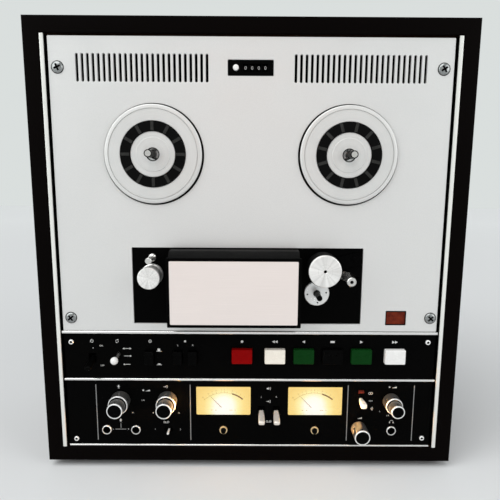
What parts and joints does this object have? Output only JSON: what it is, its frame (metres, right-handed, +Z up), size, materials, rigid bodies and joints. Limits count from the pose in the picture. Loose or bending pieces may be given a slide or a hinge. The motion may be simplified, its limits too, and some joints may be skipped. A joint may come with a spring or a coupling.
{
  "type": "reel to reel tape deck",
  "caption": "Upright reel to reel tape deck in a dark wooden cabinet, with turning reel tables, transport keys, head cover, knobs, levers and lit level meters.",
  "frame": {"origin": "middle of the deck's footprint, on the floor under its feet", "axes": "+Z up, +X to the listener's right, -Y towards the listener: the panels face -Y"},
  "size_m": [0.4318, 0.216, 0.46],
  "materials": {
    "walnut": "dark oiled walnut veneer",
    "bright_aluminium": "brushed, bright",
    "deck_silver": "satin silver",
    "panel_black": "satin black paint",
    "chassis_steel": "zinc plated sheet",
    "motor_grey": "grey motor shell",
    "head_metal": "polished head faces",
    "bearing_white": "white moulding",
    "belt_rubber": "matt",
    "board_green": "printed board",
    "dial_amber": "lit dial",
    "counter_black": "matt",
    "lamp_amber": "clear amber lens",
    "cover_black": "satin moulding",
    "table_aluminium": "turned",
    "pulley_brass": "turned",
    "chrome": "polished",
    "white_plastic": "gloss",
    "red_plastic": "gloss",
    "green_plastic": "gloss",
    "black_plastic": "gloss",
    "knob_metal": "polished, black end face",
    "needle_black": "painted black"
  },
  "bodies": {
    "root": {"cabinet": "walnut", "side_rail_left": "bright_aluminium", "side_rail_right": "bright_aluminium", "chassis": "chassis_steel", "deck_panel": "deck_silver", "function_panel": "panel_black", "amplifier_panel": "panel_black", "head_deck": "panel_black", "tape_heads": "head_metal", "capstan_bearing": "bearing_white", "supply_motor": "motor_grey", "takeup_motor": "motor_grey", "capstan_motor": "motor_grey", "drive_belt": "belt_rubber", "transformer": "motor_grey", "amplifier_board": "board_green", "meter_left": "dial_amber", "meter_right": "dial_amber", "counter_frame": "counter_black", "tape_lamp": "lamp_amber", "rear_cover": "cover_black", "socket_panel": "cover_black"},
    "supply_table": {"supply_table": "table_aluminium", "supply_mat": "belt_rubber"},
    "takeup_table": {"takeup_table": "table_aluminium", "takeup_mat": "belt_rubber"},
    "units_drum": {"units_drum": "counter_black"},
    "counter_reset": {"counter_reset": "white_plastic"},
    "capstan": {"capstan_flywheel": "head_metal"},
    "motor_pulley": {"motor_pulley": "pulley_brass"},
    "pinch_arm": {"pinch_arm": "table_aluminium"},
    "pinch_roller": {"pinch_roller": "belt_rubber"},
    "tension_arm": {"tension_arm": "chrome"},
    "guide_roller": {"guide_roller": "chrome"},
    "record_key": {"record_key": "red_plastic"},
    "rewind_key": {"rewind_key": "white_plastic"},
    "reverse_key": {"reverse_key": "green_plastic"},
    "stop_key": {"stop_key": "black_plastic"},
    "play_key": {"play_key": "green_plastic"},
    "forward_key": {"forward_key": "white_plastic"},
    "speed_button": {"speed_button": "black_plastic"},
    "record_mode_left": {"record_mode_left": "black_plastic"},
    "record_mode_right": {"record_mode_right": "black_plastic"},
    "power_switch": {"power_switch": "black_plastic"},
    "auto_reverse_lever": {"auto_reverse_lever": "white_plastic"},
    "monitor_left": {"monitor_left": "chrome"},
    "monitor_right": {"monitor_right": "chrome"},
    "echo_lever": {"echo_lever": "chrome"},
    "tape_selector": {"tape_selector": "white_plastic"},
    "mic_ring_knob": {"mic_ring_knob": "knob_metal"},
    "mic_knob": {"mic_knob": "knob_metal"},
    "line_ring_knob": {"line_ring_knob": "knob_metal"},
    "line_knob": {"line_knob": "knob_metal"},
    "volume_ring_knob": {"volume_ring_knob": "knob_metal"},
    "volume_knob": {"volume_knob": "knob_metal"},
    "level_knob": {"level_knob": "knob_metal"},
    "needle_left": {"needle_left": "needle_black"},
    "needle_right": {"needle_right": "needle_black"},
    "head_cover": {"head_cover": "cover_black", "head_cover_plate": "deck_silver"}
  },
  "joints": [
    {"name": "supply_spin", "type": "hinge", "parent": "root", "child": "supply_table", "pos_m": [-0.0954, -0.082, 0.3325], "axis": [0, 1, 0], "continuous": true},
    {"name": "takeup_spin", "type": "hinge", "parent": "root", "child": "takeup_table", "pos_m": [0.0954, -0.082, 0.3325], "axis": [0, 1, 0], "continuous": true},
    {"name": "counter_spin", "type": "hinge", "parent": "root", "child": "units_drum", "pos_m": [0.0132, -0.0694, 0.414], "axis": [1, 0, 0], "continuous": true},
    {"name": "reset_push", "type": "slide", "parent": "root", "child": "counter_reset", "axis": [0, 1, 0], "range_m": [0, 0.0015], "stiffness_N_per_m": 120},
    {"name": "capstan_spin", "type": "hinge", "parent": "root", "child": "capstan", "pos_m": [0.068, -0.082, 0.1938], "axis": [0, 1, 0], "continuous": true},
    {"name": "pulley_spin", "type": "hinge", "parent": "root", "child": "motor_pulley", "pos_m": [-0.045, -0.082, 0.2058], "axis": [0, 1, 0], "continuous": true},
    {"name": "pinch_swing", "type": "hinge", "parent": "root", "child": "pinch_arm", "pos_m": [0.106, -0.082, 0.2295], "axis": [0, -1, 0], "range_deg": [0, 16.71], "stiffness_Nm_per_rad": 0.4},
    {"name": "pinch_spin", "type": "hinge", "parent": "pinch_arm", "child": "pinch_roller", "pos_m": [0.0727, -0.082, 0.2208], "axis": [0, 1, 0], "continuous": true},
    {"name": "tension_swing", "type": "hinge", "parent": "root", "child": "tension_arm", "pos_m": [0.09, -0.082, 0.1798], "axis": [0, 1, 0], "range_deg": [0, 12], "stiffness_Nm_per_rad": 0.3},
    {"name": "guide_spin", "type": "hinge", "parent": "root", "child": "guide_roller", "pos_m": [-0.0995, -0.082, 0.213], "axis": [0, 1, 0], "continuous": true},
    {"name": "record_push", "type": "slide", "parent": "root", "child": "record_key", "axis": [0, 1, 0], "range_m": [0, 0.004], "stiffness_N_per_m": 250},
    {"name": "rewind_push", "type": "slide", "parent": "root", "child": "rewind_key", "axis": [0, 1, 0], "range_m": [0, 0.004], "stiffness_N_per_m": 250},
    {"name": "reverse_push", "type": "slide", "parent": "root", "child": "reverse_key", "axis": [0, 1, 0], "range_m": [0, 0.004], "stiffness_N_per_m": 250},
    {"name": "stop_push", "type": "slide", "parent": "root", "child": "stop_key", "axis": [0, 1, 0], "range_m": [0, 0.004], "stiffness_N_per_m": 250},
    {"name": "play_push", "type": "slide", "parent": "root", "child": "play_key", "axis": [0, 1, 0], "range_m": [0, 0.004], "stiffness_N_per_m": 250},
    {"name": "forward_push", "type": "slide", "parent": "root", "child": "forward_key", "axis": [0, 1, 0], "range_m": [0, 0.004], "stiffness_N_per_m": 250},
    {"name": "speed_push", "type": "slide", "parent": "root", "child": "speed_button", "axis": [0, 1, 0], "range_m": [0, 0.003], "stiffness_N_per_m": 200},
    {"name": "record_mode_left_push", "type": "slide", "parent": "root", "child": "record_mode_left", "axis": [0, 1, 0], "range_m": [0, 0.003], "stiffness_N_per_m": 200},
    {"name": "record_mode_right_push", "type": "slide", "parent": "root", "child": "record_mode_right", "axis": [0, 1, 0], "range_m": [0, 0.003], "stiffness_N_per_m": 200},
    {"name": "power_tilt", "type": "hinge", "parent": "root", "child": "power_switch", "pos_m": [-0.1645, -0.073, 0.1233], "axis": [-1, 0, 0], "range_deg": [0, 24]},
    {"name": "auto_reverse_tilt", "type": "hinge", "parent": "root", "child": "auto_reverse_lever", "pos_m": [-0.1375, -0.073, 0.1263], "axis": [-1, 0, 0], "range_deg": [-14, 14]},
    {"name": "monitor_left_tilt", "type": "hinge", "parent": "root", "child": "monitor_left", "pos_m": [0.0125, -0.073, 0.0648], "axis": [-1, 0, 0], "range_deg": [0, 26]},
    {"name": "monitor_right_tilt", "type": "hinge", "parent": "root", "child": "monitor_right", "pos_m": [0.0283, -0.073, 0.0648], "axis": [-1, 0, 0], "range_deg": [0, 26]},
    {"name": "echo_tilt", "type": "hinge", "parent": "root", "child": "echo_lever", "pos_m": [0.1182, -0.073, 0.0777], "axis": [-1, 0, 0], "range_deg": [-14, 14]},
    {"name": "selector_tilt", "type": "hinge", "parent": "root", "child": "tape_selector", "pos_m": [-0.0862, -0.073, 0.0429], "axis": [0, 0, 1], "range_deg": [-14, 14]},
    {"name": "mic_ring_turn", "type": "hinge", "parent": "root", "child": "mic_ring_knob", "pos_m": [-0.1365, -0.082, 0.0769], "axis": [0, 1, 0], "range_deg": [-150, 150]},
    {"name": "mic_turn", "type": "hinge", "parent": "root", "child": "mic_knob", "pos_m": [-0.1365, -0.082, 0.0769], "axis": [0, 1, 0], "range_deg": [-150, 150]},
    {"name": "line_ring_turn", "type": "hinge", "parent": "root", "child": "line_ring_knob", "pos_m": [-0.087, -0.082, 0.0769], "axis": [0, 1, 0], "range_deg": [-150, 150]},
    {"name": "line_turn", "type": "hinge", "parent": "root", "child": "line_knob", "pos_m": [-0.087, -0.082, 0.0769], "axis": [0, 1, 0], "range_deg": [-150, 150]},
    {"name": "volume_ring_turn", "type": "hinge", "parent": "root", "child": "volume_ring_knob", "pos_m": [0.15, -0.082, 0.0769], "axis": [0, 1, 0], "range_deg": [-150, 150]},
    {"name": "volume_turn", "type": "hinge", "parent": "root", "child": "volume_knob", "pos_m": [0.15, -0.082, 0.0769], "axis": [0, 1, 0], "range_deg": [-150, 150]},
    {"name": "level_turn", "type": "hinge", "parent": "root", "child": "level_knob", "pos_m": [0.1167, -0.082, 0.0455], "axis": [0, 1, 0], "range_deg": [-150, 150]},
    {"name": "needle_left_swing", "type": "hinge", "parent": "root", "child": "needle_left", "pos_m": [-0.0279, -0.0682, 0.0606], "axis": [0, 1, 0], "range_deg": [0, 86], "stiffness_Nm_per_rad": 0.001},
    {"name": "needle_right_swing", "type": "hinge", "parent": "root", "child": "needle_right", "pos_m": [0.0698, -0.0682, 0.0606], "axis": [0, 1, 0], "range_deg": [0, 86], "stiffness_Nm_per_rad": 0.001},
    {"name": "cover_pull", "type": "slide", "parent": "root", "child": "head_cover", "axis": [0, -1, 0], "range_m": [0, 0.03]}
  ],
  "couplings": [
    {"joint": "counter_spin", "follows": "takeup_spin", "ratio": 0.1},
    {"joint": "pulley_spin", "follows": "capstan_spin", "ratio": 4.6667}
  ]
}
